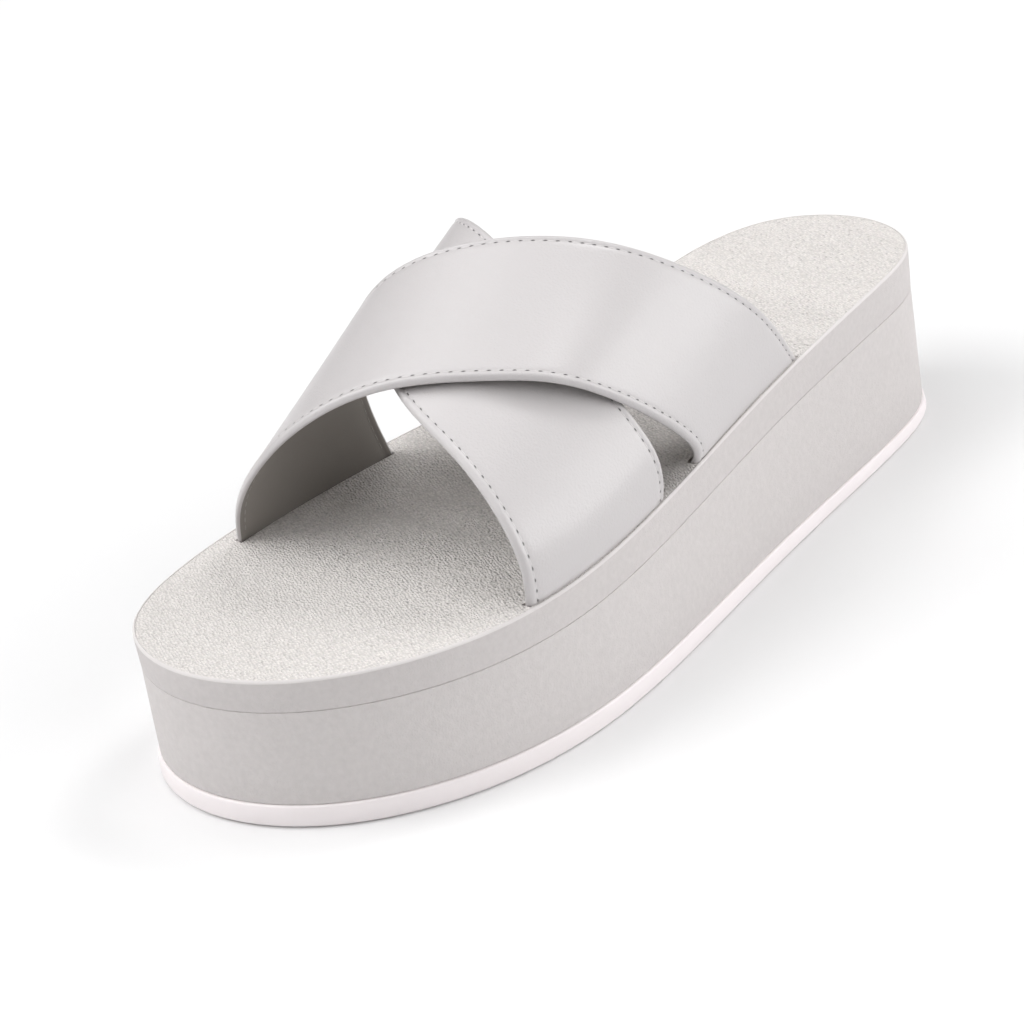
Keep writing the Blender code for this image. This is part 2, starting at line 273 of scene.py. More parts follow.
# %% [markdown]
# The footbed climbs from the forefoot to the heel in one soft slope. The heights are functions of
# the place along the shoe, so that every layer follows the same wedge.

# %% Heights along the shoe
TOE_SPRING = 0.0004
SPRING_END = 0.30
BAND_AT_TOE = 0.0079
BAND_AT_HEEL = 0.0116
OUTSOLE_AT_TOE = 0.0054
OUTSOLE_AT_HEEL = 0.0035
INSOLE_DROP = 0.0005
WALL_RAKE = 0.0011


def share_at(y):
    return min(max(y / LENGTH + 0.5, 0.0), 1.0)


def rim_height(y):
    climb = min(max((share_at(y) - CLIMB_START) / (CLIMB_END - CLIMB_START), 0.0), 1.0)
    return FOREFOOT_HEIGHT + (HEEL_HEIGHT - FOREFOOT_HEIGHT) * climb ** 2 * (3 - 2 * climb)


def insole_height(y):
    return rim_height(y) - INSOLE_DROP


def floor_lift(y):
    return TOE_SPRING * max(0.0, 1.0 - share_at(y) / SPRING_END) ** 2


def band_bottom(y):
    return rim_height(y) - (BAND_AT_TOE + (BAND_AT_HEEL - BAND_AT_TOE) * share_at(y))


def outsole_top(y):
    return floor_lift(y) + OUTSOLE_AT_TOE + (OUTSOLE_AT_HEEL - OUTSOLE_AT_TOE) * share_at(y)


def raised(height, change):
    return lambda y: height(y) + change


print("rim over the ball", round(1000 * rim_height(-0.06), 1), "mm, at the heel",
      round(1000 * rim_height(0.11), 1), "mm")

# %% [markdown]
# Most of this shoe is sheet goods, wrapped round a form. The pieces are made in the same way: a
# grid primitive is the flat sheet, and each of its points is carried to its place by a function of
# how far along and how far across the sheet it lies. Where a sheet comes back to its own start, its
# seam is welded.

# %% Sheets that are wrapped round a form
WELD_DISTANCE = 0.000002
SHARP_ANGLE = 40


def pick_only(piece):
    bpy.ops.object.select_all(action="DESELECT")
    piece.select_set(True)
    bpy.context.view_layer.objects.active = piece


def wrapped_sheet(name, along, across, place):
    """A grid of along x across cells, each point moved to place(share along, share across)."""
    bpy.ops.object.select_all(action="DESELECT")
    bpy.ops.mesh.primitive_grid_add(x_subdivisions=along, y_subdivisions=across, size=2.0)
    sheet = bpy.context.object
    sheet.name = name
    for vertex in sheet.data.vertices:
        vertex.co = place((vertex.co.x + 1.0) / 2.0, (vertex.co.y + 1.0) / 2.0)
    return sheet


def weld(piece, others=()):
    """Joins other sheets to the piece and merges the points that meet."""
    bpy.ops.object.select_all(action="DESELECT")
    for other in others:
        other.select_set(True)
    piece.select_set(True)
    bpy.context.view_layer.objects.active = piece
    if others:
        bpy.ops.object.join()
    bpy.ops.object.mode_set(mode="EDIT")
    bpy.ops.mesh.select_all(action="SELECT")
    bpy.ops.mesh.remove_doubles(threshold=WELD_DISTANCE)
    bpy.ops.mesh.normals_make_consistent(inside=False)
    bpy.ops.object.mode_set(mode="OBJECT")
    return piece


def smooth(piece, degrees=SHARP_ANGLE):
    pick_only(piece)
    bpy.ops.object.shade_smooth_by_angle(angle=math.radians(degrees))


CAP_CELLS = 20


def sole_layer(name, rings):
    """A closed layer through rings of the rim's shape, each (how far out, height function)."""
    count = 2 * SIDE_POINTS

    def ring_point(i, ring):
        out, height = rings[ring]
        x, y = RIM_POINTS[i % count] + RIM_OUTWARD[i % count] * out
        z = height(y)
        return np.array([x, y + WALL_RAKE * (1.0 - z / rim_height(y)), z])

    def wall_place(around, up):
        return ring_point(round(around * count), round(up * (len(rings) - 1)))

    def cap_place(ring):
        def place(down, across):
            i = round(down * SIDE_POINTS)
            start, end = ring_point(i, ring), ring_point(count - i, ring)
            return start + (end - start) * across

        return place

    wall = wrapped_sheet(name, count, len(rings) - 1, wall_place)
    low = wrapped_sheet(name + "_low", SIDE_POINTS, CAP_CELLS, cap_place(0))
    high = wrapped_sheet(name + "_high", SIDE_POINTS, CAP_CELLS, cap_place(len(rings) - 1))
    return weld(wall, (low, high))


def finish_piece(piece, node, material):
    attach(piece, "root")
    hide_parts(node)
    piece.data.materials.clear()
    piece.data.materials.append(material)
    print(piece.name, len(piece.data.polygons), "faces")


# %% [markdown]
# Materials are next. Every surface of this shoe has some fine grain, so the grain is one node group.
# Its inputs are a place in object space, two sizes of noise and a mottle. It puts out a height for
# the bump, and a shade that shifts the colour by a few per cent. Each material sets its own sizes
# and strengths.

# %% The grain group
FINE_SCALE = 2500.0
COARSE_SCALE = 120.0
MOTTLE = 0.03
FINE_DETAIL = 3.0
COARSE_DETAIL = 2.0


def new_group(name, inputs, outputs):
    group = bpy.data.node_groups.new(name, "ShaderNodeTree")
    for label, kind, value in inputs:
        socket = group.interface.new_socket(label, in_out="INPUT", socket_type=kind)
        if value is not None:
            socket.default_value = value
    for label, kind in outputs:
        group.interface.new_socket(label, in_out="OUTPUT", socket_type=kind)
    start = group.nodes.new("NodeGroupInput")
    end = group.nodes.new("NodeGroupOutput")
    return group, start, end


def calc(tree, operation, first, second=0.0, clamp=False):
    """A Math node on two values or sockets, and its result."""
    node = tree.nodes.new("ShaderNodeMath")
    node.operation = operation
    node.use_clamp = clamp
    for socket, value in zip(node.inputs, (first, second)):
        if isinstance(value, (int, float)):
            socket.default_value = value
        else:
            tree.links.new(value, socket)
    return node.outputs[0]


def noise(tree, vector, scale, detail):
    node = tree.nodes.new("ShaderNodeTexNoise")
    node.inputs["Detail"].default_value = detail
    tree.links.new(vector, node.inputs["Vector"])
    tree.links.new(scale, node.inputs["Scale"])
    return node.outputs["Fac"]


def build_grain_group():
    group, start, end = new_group(
        "grain",
        (
            ("Vector", "NodeSocketVector", None),
            ("Fine Scale", "NodeSocketFloat", FINE_SCALE),
            ("Coarse Scale", "NodeSocketFloat", COARSE_SCALE),
            ("Mottle", "NodeSocketFloat", MOTTLE),
        ),
        (("Height", "NodeSocketFloat"), ("Shade", "NodeSocketFloat")),
    )
    place = start.outputs["Vector"]
    fine = noise(group, place, start.outputs["Fine Scale"], FINE_DETAIL)
    coarse = noise(group, place, start.outputs["Coarse Scale"], COARSE_DETAIL)
    group.links.new(fine, end.inputs["Height"])
    lean = calc(group, "SUBTRACT", coarse, 0.5)
    swing = calc(group, "MULTIPLY", lean, start.outputs["Mottle"])
    group.links.new(calc(group, "ADD", swing, 1.0), end.inputs["Shade"])
    return group


GRAIN = build_grain_group()
print("group:", GRAIN.name)

# %% [markdown]
# A material here is a Principled shader with its colour, multiplied by the grain's mottle, and a
# bump from the grain's height. The same short function serves every finish of the shoe, and only
# numbers that differ from finish to finish are passed in.

# %% Plain grained materials
SOLE_SPECULAR = 0.3


def object_place(tree):
    return tree.nodes.new("ShaderNodeTexCoord").outputs["Object"]


def grained_material(name, colour, roughness, fine, depth, coarse=90.0, mottle=MOTTLE):
    """Fine and coarse are the scales of the two noises, and depth is the bump's, in metres."""
    material = bpy.data.materials.new(name)
    material.use_nodes = True
    tree = material.node_tree
    shader = tree.nodes["Principled BSDF"]
    shader.inputs["Roughness"].default_value = roughness
    grain = tree.nodes.new("ShaderNodeGroup")
    grain.node_tree = GRAIN
    tree.links.new(object_place(tree), grain.inputs["Vector"])
    grain.inputs["Fine Scale"].default_value = fine
    grain.inputs["Coarse Scale"].default_value = coarse
    grain.inputs["Mottle"].default_value = mottle
    tint = tree.nodes.new("ShaderNodeVectorMath")
    tint.operation = "SCALE"
    tint.inputs[0].default_value = colour
    tree.links.new(grain.outputs["Shade"], tint.inputs["Scale"])
    tree.links.new(tint.outputs[0], shader.inputs["Base Color"])
    bump = tree.nodes.new("ShaderNodeBump")
    bump.inputs["Strength"].default_value = 1.0
    bump.inputs["Distance"].default_value = depth
    tree.links.new(grain.outputs["Height"], bump.inputs["Height"])
    tree.links.new(bump.outputs["Normal"], shader.inputs["Normal"])
    return material


foam = grained_material(
    "midsole_foam", (0.622, 0.590, 0.583), roughness=0.72,
    fine=2200.0, depth=0.00015, coarse=700.0, mottle=0.14,
)
cover = grained_material(
    "footbed_cover", (0.600, 0.568, 0.562), roughness=0.70,
    fine=2200.0, depth=0.00015, coarse=700.0, mottle=0.14,
)
rubber = grained_material(
    "outsole_rubber", (0.900, 0.845, 0.850), roughness=0.55, fine=1800.0, depth=0.00003
)
for matt in (foam, cover):
    shader = matt.node_tree.nodes["Principled BSDF"]
    shader.inputs["Specular IOR Level"].default_value = SOLE_SPECULAR
print("finishes:", foam.name, cover.name, rubber.name)

# %% [markdown]
# The outsole is a thin sheet of rubber. It stands a hair proud of the wall above it, and its floor
# edge is round. Its underside is plain, since nothing of it shows.

# %% The outsole
OUTSOLE_RINGS = (
    (0.0003, floor_lift),
    (0.00075, raised(floor_lift, 0.0001)),
    (0.0011, raised(floor_lift, 0.0004)),
    (0.0013, raised(floor_lift, 0.0010)),
    (0.0011, raised(outsole_top, -0.0014)),
    (0.0009, raised(outsole_top, -0.0004)),
    (0.0008, raised(outsole_top, -0.00018)),
    (0.0005, outsole_top),
)
outsole = sole_layer("outsole_sheet", OUTSOLE_RINGS)
smooth(outsole)
finish_piece(outsole, "outsole", rubber)

# %% [markdown]
# The midsole is a wedge of light foam. Its wall leans out a little towards the floor. Its upper
# edge turns in, and with the lower edge of the band above it makes the thin dark groove that runs
# all the way round.

# %% The midsole
MIDSOLE_RINGS = (
    (0.0000, raised(outsole_top, 0.0001)),
    (0.0003, raised(outsole_top, 0.0002)),
    (0.0004, raised(outsole_top, 0.0006)),
    (0.0002, raised(outsole_top, 0.0090)),
    (-0.0001, raised(band_bottom, -0.0040)),
    (-0.0002, raised(band_bottom, -0.0005)),
    (-0.00023, raised(band_bottom, -0.00015)),
    (-0.00040, raised(band_bottom, -0.00006)),
)
midsole = sole_layer("midsole_wedge", MIDSOLE_RINGS)
smooth(midsole)
finish_piece(midsole, "midsole", foam)

# %% [markdown]
# The footbed is the covered top layer. It shows as a band round the shoe, with a narrow rim at the
# top. The rim's edge is tight and catches a line of light. Inside the rim the layer drops to a
# recess for the insole. Its pockets are cut for the strap ends further on.

# %% The footbed
RIM_WIDTH = 0.0007
INSOLE_THICKNESS = 0.0014
CLEARANCE = 0.0003


def recess_floor(y):
    return insole_height(y) - INSOLE_THICKNESS - CLEARANCE


FOOTBED_RINGS = (
    (-0.00040, raised(band_bottom, -0.00002)),
    (-0.00021, raised(band_bottom, 0.00006)),
    (-0.00016, raised(band_bottom, 0.0003)),
    (-0.0001, raised(band_bottom, 0.0035)),
    (0.0, raised(rim_height, -0.0012)),
    (-0.00003, raised(rim_height, -0.00065)),
    (-0.00013, raised(rim_height, -0.00036)),
    (-0.00030, raised(rim_height, -0.00014)),
    (-0.00050, rim_height),
    (-0.00063, raised(rim_height, -0.00002)),
    (-RIM_WIDTH, raised(rim_height, -0.00008)),
    (-RIM_WIDTH, recess_floor),
)
footbed = sole_layer("footbed_layer", FOOTBED_RINGS)
print("footbed:", len(footbed.data.polygons), "faces before its pockets are cut")

# %% [markdown]
# The insole is a sock of thick cloth that fills the recess. Its cloth swells until it is all but
# level with the rim, so the rim shows as no more than a fine light line beside it.

# %% The insole
CLOTH_SWELL = 0.00046
INSOLE_RINGS = (
    (-RIM_WIDTH - 0.0002, raised(recess_floor, CLEARANCE)),
    (-RIM_WIDTH - 0.00002, raised(recess_floor, 0.0005)),
    (-RIM_WIDTH - 0.00002, raised(insole_height, 0.0003)),
    (-RIM_WIDTH - 0.00014, raised(insole_height, 0.0004)),
    (-RIM_WIDTH - 0.0005, raised(insole_height, CLOTH_SWELL)),
)
insole = sole_layer("insole_textile", INSOLE_RINGS)
print("insole:", len(insole.data.polygons), "faces before its slots are cut")

# %% [markdown]
# Each strap is a band of leather whose two long edges run along their own curves, from the slot on
# the outer side, over the instep, to the slot on the inner side. The tables give places on both
# edges as shares: along the length, out from the centre line, and up from the insole. The legs'
# own table says where they enter the insole, and how wide a strip is left between slot and rim. A
# foot isn't straight: low down, the strap is pushed out until it runs along the rim's curve.

# %% The straps' tables
STRAP_RISE = 0.0600
STRAP_THICKNESS = 0.0024
SEAT_DEPTH = 0.0055
LEGS = {
    # leg: side, front at, back at, front strip, back strip
    "under_lateral": (1, 0.226, 0.424, 0.004, 0.003),
    "under_medial": (-1, 0.484, 0.676, 0.030, 0.030),
    "over_lateral": (1, 0.482, 0.688, 0.0045, 0.003),
    "over_medial": (-1, 0.194, 0.386, 0.041, 0.039),
}
SECTIONS = {
    # front edge at, out, up; back edge at, out, up
    "under": (
        (0.221, 0.474, 0.180, 0.413, 0.460, 0.245),
        (0.226, 0.403, 0.366, 0.405, 0.349, 0.502),
        (0.237, 0.256, 0.532, 0.415, 0.178, 0.738),
        (0.257, 0.057, 0.658, 0.438, -0.043, 0.926),
        (0.304, -0.133, 0.722, 0.476, -0.242, 0.884),
        (0.352, -0.284, 0.632, 0.526, -0.322, 0.680),
        (0.412, -0.352, 0.380, 0.592, -0.330, 0.400),
    ),
    "over": (
        (0.459, 0.448, 0.182, 0.621, 0.370, 0.364),
        (0.368, 0.382, 0.557, 0.551, 0.304, 0.665),
        (0.304, 0.231, 0.684, 0.484, 0.170, 0.877),
        (0.247, 0.038, 0.702, 0.423, -0.010, 0.953),
        (0.208, -0.145, 0.581, 0.379, -0.186, 0.895),
        (0.189, -0.284, 0.394, 0.359, -0.319, 0.697),
        (0.185, -0.381, 0.194, 0.362, -0.382, 0.386),
    ),
}


def rim_x(y, side):
    """How far out the rim lies at this y, on the lateral (1) or medial (-1) side."""
    if side > 0:
        line = RIM_POINTS[:SIDE_POINTS + 1]
    else:
        line = np.vstack([RIM_POINTS[SIDE_POINTS:], RIM_POINTS[:1]])[::-1]
    return float(np.interp(y, line[:, 1], line[:, 0]))


def leg_foot(leg):
    """The strap's middle where it enters the insole: its front point and its back point."""
    side, front_at, back_at, front_strip, back_strip = LEGS[leg]
    points = []
    for at, strip in ((front_at, front_strip), (back_at, back_strip)):
        y = (at - 0.5) * LENGTH
        edge = RIM_WIDTH + CLEARANCE / 2 + strip * BALL_WIDTH + STRAP_THICKNESS / 2
        points.append(np.array([rim_x(y, side) - side * edge, y, insole_height(y)]))
    return points


FEET = {leg: leg_foot(leg) for leg in LEGS}
FOLLOW_HEIGHT = 0.022


def rim_follow(leg, y, z):
    """How far a point of the leg moves outwards, so that its foot keeps to the rim's curve."""
    front, back = FEET[leg]
    side = LEGS[leg][0]
    share = min(max((y - front[1]) / (back[1] - front[1]), 0.0), 1.0)
    chord = front + (back - front) * share
    gaps = [rim_x(end[1], side) - end[0] for end in (front, back)]
    curve = rim_x(chord[1], side) - gaps[0] - (gaps[1] - gaps[0]) * share
    fade = min(max(1.0 - (z - chord[2]) / FOLLOW_HEIGHT, 0.0), 1.0)
    return (curve - chord[0]) * fade * fade * (3 - 2 * fade)


def strap_edges(name):
    """The strap's front and back edges as curves, from the lateral to the medial foot."""
    edges = []
    for k in (0, 1):
        points = [FEET[name + "_lateral"][k]]
        for row in SECTIONS[name]:
            at, out, up = row[3 * k:3 * k + 3]
            y = (at - 0.5) * LENGTH
            points.append(np.array([out * BALL_WIDTH, y, insole_height(y) + up * STRAP_RISE]))
        points.append(FEET[name + "_medial"][k])
        edges.append(spline(points, by_length=False))
    return edges


EDGES = {name: strap_edges(name) for name in SECTIONS}
print("feet:", {leg: round(float(1000 * np.linalg.norm(back - front)))
                for leg, (front, back) in FEET.items()}, "mm wide")

# %% [markdown]
# A strap's edge is folded: the leather turns round it and ends a little way inside, where the
# lining starts, and a row of stitches a little over 2 mm in holds the fold. So the edge is puffed
# and round, with a shallow groove along the stitches, and on the inner side it is thinner than the
# rest of the strap. The section below is drawn once as distances in from the edge and heights over
# the strap's middle, and it is swept along both edges of both straps.

# %% The strap's cross-section
STITCH_INSET = 0.0023
FOLD_SECTION = (
    # in from the edge, height over the middle of the leather
    (0.0070, 0.00120),
    (0.0050, 0.00120),
    (0.0040, 0.00120),
    (0.0032, 0.00118),
    (0.0027, 0.00110),
    (0.0023, 0.00100),
    (0.0019, 0.00112),
    (0.0015, 0.00123),
    (0.0011, 0.00121),
    (0.0007, 0.00100),
    (0.0003, 0.00064),
    (0.0001, 0.00026),
    (0.0, -0.00002),
    (0.0002, -0.00038),
    (0.0006, -0.00058),
    (0.0011, -0.00066),
    (0.0015, -0.00070),
    (0.0017, -0.00064),
    (0.0020, -0.00066),
    (0.0023, -0.00064),
    (0.0030, -0.00080),
    (0.0050, -0.00106),
    (0.0070, -0.00118),
)
FLAT_CELLS = 16
STRAP_STATIONS = 150
LEG_STATIONS = 2
RUN_STEP = 0.002
STRAP_SHARP_ANGLE = 50


def section_ring():
    """The closed section as (edge, in from that edge, share of the flat part, height)."""
    ring = [("front", inset, 0.0, up) for inset, up in FOLD_SECTION]
    inner, outer = FOLD_SECTION[-1], FOLD_SECTION[0]
    flat = [i / FLAT_CELLS for i in range(1, FLAT_CELLS)]
    ring += [("flat", inner[0], share, inner[1]) for share in flat]
    ring += [("back", inset, 1.0, up) for inset, up in reversed(FOLD_SECTION)]
    ring += [("flat", outer[0], 1.0 - share, outer[1]) for share in flat]
    return ring


SECTION_RING = section_ring()


def strap_frame(name, share):
    """Both edge points at this share along, with the across and outward directions."""
    front_curve, back_curve = EDGES[name]
    front, back = front_curve(share), back_curve(share)
    low, high = max(share - RUN_STEP, 0.0), min(share + RUN_STEP, 1.0)
    front_run = front_curve(high) - front_curve(low)
    back_run = back_curve(high) - back_curve(low)
    across = (back - front) / np.linalg.norm(back - front)
    outwards = []
    for run in (front_run, back_run):
        out = np.cross(across, run)
        outwards.append(out / np.linalg.norm(out))
    return front, back, across, outwards


def strap_point(name, share, kind, inset, flat_share, height):
    front, back, across, (front_out, back_out) = strap_frame(name, share)
    width = np.linalg.norm(back - front)
    if kind == "front":
        reach = inset
    elif kind == "back":
        reach = width - inset
    else:
        reach = inset + (width - 2 * inset) * flat_share
    out = front_out + (back_out - front_out) * reach / width
    middle = front + across * reach
    leg = name + ("_lateral" if middle[0] > 0 else "_medial")
    shift = np.array([rim_follow(leg, middle[1], middle[2]), 0.0, 0.0])
    return middle + shift + out / np.linalg.norm(out) * height


def leg_end_height(leg):
    front, back = FEET[leg]
    return insole_height((front[1] + back[1]) / 2) - SEAT_DEPTH


def build_strap(name):
    """One strap: its section swept from one pocket to the other, and its two ends closed."""
    rows = STRAP_STATIONS + 2 * LEG_STATIONS

    def place(along, around):
        row = round(along * rows) - LEG_STATIONS
        kind, inset, flat_share, height = SECTION_RING[
            round(around * len(SECTION_RING)) % len(SECTION_RING)
        ]
        share = min(max(row / STRAP_STATIONS, 0.0), 1.0)
        point = strap_point(name, share, kind, inset, flat_share, height)
        for leg, depth in ((name + "_lateral", -row), (name + "_medial", row - STRAP_STATIONS)):
            if depth > 0:
                fall = point[2] - leg_end_height(leg)
                point[2] -= fall * depth / LEG_STATIONS
        return point

    strap = wrapped_sheet(name + "_strap", rows, len(SECTION_RING), place)
    weld(strap)
    bpy.ops.object.mode_set(mode="EDIT")
    bpy.ops.mesh.select_mode(type="EDGE")
    bpy.ops.mesh.select_all(action="DESELECT")
    bpy.ops.mesh.select_non_manifold()
    bpy.ops.mesh.edge_face_add()
    bpy.ops.mesh.select_all(action="SELECT")
    bpy.ops.mesh.normals_make_consistent(inside=False)
    bpy.ops.object.mode_set(mode="OBJECT")
    smooth(strap, STRAP_SHARP_ANGLE)
    return strap


straps = {name: build_strap(name) for name in SECTIONS}
print("straps:", {name: len(strap.data.polygons) for name, strap in straps.items()})

# %% [markdown]
# The leather is smooth and faintly pebbled, with a soft sheen. At the stitch rows the needle leaves
# small holes between one stitch and the next. They are too small to model, so they get a small bump
# and painted shade, both from a UV map that is measured in metres: U runs along the strap, and V is
# the distance in from the nearer long edge.

# %% A UV map in metres
STITCH_PITCH = 0.0028
FOLD_REACH = 0.0006
FOLD_SLACK = 0.00005
MAP_SHARES = 601


def row_lengths(name, inset):
    """Length along each stitch row up to every station, for the front and the back edge."""
    lengths = []
    for kind in ("front", "back"):
        places = [
            strap_point(name, i / STRAP_STATIONS, kind, inset, 0.0, 0.0)
            for i in range(STRAP_STATIONS + 1)
        ]
        steps = np.linalg.norm(np.diff(places, axis=0), axis=1)
        lengths.append(np.concatenate([[0.0], np.cumsum(steps)]))
    return lengths


ROWS = {name: row_lengths(name, STITCH_INSET) for name in SECTIONS}


def measure_uv(name, strap):
    """U along the strap and V in from its nearer edge, in metres, for every face corner."""
    mesh = strap.data
    front_row, back_row = ROWS[name]
    shares = np.linspace(0.0, 1.0, MAP_SHARES)
    fronts = np.array([EDGES[name][0](share) for share in shares])
    backs = np.array([EDGES[name][1](share) for share in shares])
    axis = backs - fronts
    widths = np.linalg.norm(axis, axis=1)
    axis /= widths[:, None]
    middles = (fronts + backs) / 2
    runs = np.gradient(middles, axis=0)
    runs /= np.linalg.norm(runs, axis=1)[:, None]
    outs = np.cross(axis, runs)
    outs /= np.linalg.norm(outs, axis=1)[:, None]
    inner = mesh.attributes.new("inner", "FLOAT", "POINT")
    values = []
    for vertex in mesh.vertices:
        place = np.array(vertex.co)
        leg = name + ("_lateral" if place[0] > 0 else "_medial")
        place[0] -= rim_follow(leg, place[1], place[2])
        offset = place - fronts
        reach = (offset * axis).sum(axis=1)
        miss = offset - axis * reach[:, None]
        best = int(np.argmin((miss ** 2).sum(axis=1)))
        station = shares[best] * STRAP_STATIONS
        near_front = reach[best] < widths[best] / 2
        row = front_row if near_front else back_row
        length = float(np.interp(station, range(len(row)), row))
        inset = reach[best] if near_front else widths[best] - reach[best]
        values.append((length, max(float(inset), 0.0)))
        height = float(offset[best] @ outs[best])
        inside = height < 0.0 and inset > FOLD_REACH - FOLD_SLACK
        inner.data[vertex.index].value = float(inside)
    layer = mesh.uv_layers.active or mesh.uv_layers.new(name="measured")
    layer.name = "measured"
    for loop in mesh.loops:
        layer.data[loop.index].uv = values[loop.vertex_index]


for name, strap in straps.items():
    measure_uv(name, strap)
print("stitch rows:", {name: [round(float(1000 * row[-1])) for row in rows]
                       for name, rows in ROWS.items()}, "mm")

# %% [markdown]
# The leather material adds three things to the plain grained one: painted shade and a small bump in
# the needle holes, a coat that gives the finish its soft gloss, and a slight painted shade in the
# stitch groove.

# %% The leather
COAT_WEIGHT = 0.35
COAT_ROUGHNESS = 0.28
NEEDLE_LENGTH = 0.00050
NEEDLE_WIDTH = 0.00024
NEEDLE_HOLE_PAINTED_SHADE = 0.62
NEEDLE_DEPTH = 0.0003
GROOVE_PAINTED_SHADE = 0.05


def scale_shade(tree, factor):
    """Multiplies the grained colour by one more factor."""
    tint = next(
        node for node in tree.nodes
        if node.bl_idname == "ShaderNodeVectorMath" and node.operation == "SCALE"
    )
    shade = tint.inputs["Scale"].links[0].from_socket
    tree.links.new(calc(tree, "MULTIPLY", shade, factor), tint.inputs["Scale"])


def add_relief(tree, height, depth):
    """Puts one more bump, so many metres deep, under the grain's."""
    bump = next(node for node in tree.nodes if node.bl_idname == "ShaderNodeBump")
    relief = tree.nodes.new("ShaderNodeBump")
    relief.inputs["Distance"].default_value = depth
    tree.links.new(height, relief.inputs["Height"])
    tree.links.new(relief.outputs["Normal"], bump.inputs["Normal"])


def leather_material():
    material = grained_material(
        "strap_leather", (0.566, 0.542, 0.544), roughness=0.45,
        fine=1700.0, depth=0.00011, coarse=60.0, mottle=0.02,
    )
    tree = material.node_tree
    shader = tree.nodes["Principled BSDF"]
    shader.inputs["Coat Weight"].default_value = COAT_WEIGHT
    shader.inputs["Coat Roughness"].default_value = COAT_ROUGHNESS
    uv = tree.nodes.new("ShaderNodeUVMap")
    uv.uv_map = "measured"
    split = tree.nodes.new("ShaderNodeSeparateXYZ")
    tree.links.new(uv.outputs["UV"], split.inputs[0])
    turn = calc(tree, "MODULO", calc(tree, "DIVIDE", split.outputs["X"], STITCH_PITCH), 1.0)
    along = calc(tree, "SUBTRACT", turn, 0.5)
    along = calc(tree, "MULTIPLY", along, STITCH_PITCH / NEEDLE_LENGTH)
    across = calc(tree, "SUBTRACT", split.outputs["Y"], STITCH_INSET)
    across = calc(tree, "DIVIDE", across, NEEDLE_WIDTH)
    reach = calc(tree, "ADD", calc(tree, "POWER", along, 2.0), calc(tree, "POWER", across, 2.0))
    hole = calc(tree, "SUBTRACT", 1.0, reach, clamp=True)
    groove = calc(tree, "SUBTRACT", 1.0, calc(tree, "ABSOLUTE", across), clamp=True)
    # Painted shade: the needle holes and the stitch groove are darkened in the colour.
    painted_shade = calc(tree, "MULTIPLY", calc(tree, "POWER", hole, 0.5), NEEDLE_HOLE_PAINTED_SHADE)
    painted_shade = calc(tree, "ADD", painted_shade, calc(tree, "MULTIPLY", groove, GROOVE_PAINTED_SHADE))
    scale_shade(tree, calc(tree, "SUBTRACT", 1.0, painted_shade, clamp=True))
    add_relief(tree, calc(tree, "SUBTRACT", 1.0, hole), NEEDLE_DEPTH)
    return material


leather = leather_material()
print("leather:", len(leather.node_tree.nodes), "nodes")

# %% [markdown]
# Inside, between the two folds, each strap has a thin lining. It is a smooth cloth, warmer than the
# leather, and its colour is made much darker, which paints in the shade that falls inside the strap
# arches. The lining is no piece of its own: the strap's inner faces get a second material. They are
# found by the attribute that the measuring left on the inner side.

# %% The lining
# Painted shade: the lining's dark colour stands in for the shade inside the strap arches.
lining = grained_material(
    "strap_lining_painted_shade", (0.270, 0.250, 0.230), roughness=0.85,
    fine=3800.0, depth=0.00004, coarse=140.0, mottle=0.05,
)


def line_strap(name, strap):
    """Gives the lining and its painted shade to faces that look inwards, beyond the fold's reach
    from an edge.
    """
    strap.data.materials.append(lining)
    side = strap.data.attributes["inner"]
    for face in strap.data.polygons:
        if all(side.data[i].value > 0.5 for i in face.vertices):
            face.material_index = 1


for name, strap in straps.items():
    finish_piece(strap, "cross_straps", leather)
    line_strap(name, strap)

# %% [markdown]
# The thread itself is modelled: one stitch is a small sphere, pulled long and a little flat, and it
# is copied along each row on the outside and on the lining side. The copies on one side of a strap
# are joined into one piece.

# %% Stitches
STITCH_LENGTH = 0.0019
STITCH_WIDTH = 0.00042
STITCH_FLATNESS = 0.7
STITCH_SEGMENTS = 8
STITCH_RINGS = 6
STITCH_SINK = {1: 0.00096, -1: 0.00062}
ROW_MARGIN = 0.003
RUN_SHARE = 0.003
thread = grained_material(
    "stitch_thread", (0.63, 0.605, 0.605), roughness=0.65, fine=5200.0, depth=0.00005
)
# Painted shade: the thread on the lining side is made as dark as the lining's painted shade.
inner_thread_painted_shade = grained_material(
    "lining_thread_painted_shade", (0.36, 0.335, 0.31), roughness=0.70, fine=5200.0, depth=0.00005
)


def stitch_places(name, face):
    """Places and turns of a strap's stitches, on its outside (1) or its lining side (-1)."""
    for edge, kind in enumerate(("front", "back")):
        lengths = ROWS[name][edge]
        count = int((lengths[-1] - ROW_MARGIN) / STITCH_PITCH)
        for i in range(1, count + 1):
            share = float(np.interp(i * STITCH_PITCH, lengths, range(len(lengths))))
            share /= STRAP_STATIONS
            low, high = (
                strap_point(name, end, kind, STITCH_INSET, 0.0, face * STITCH_SINK[face])
                for end in (share - RUN_SHARE, share + RUN_SHARE)
            )
            run = (high - low) / np.linalg.norm(high - low)
            out = np.cross(strap_frame(name, share)[2], run) * face
            out /= np.linalg.norm(out)
            turn = Matrix(np.column_stack([run, np.cross(out, run), out]).tolist()).to_4x4()
            yield Matrix.Translation(Vector((low + high) / 2)) @ turn


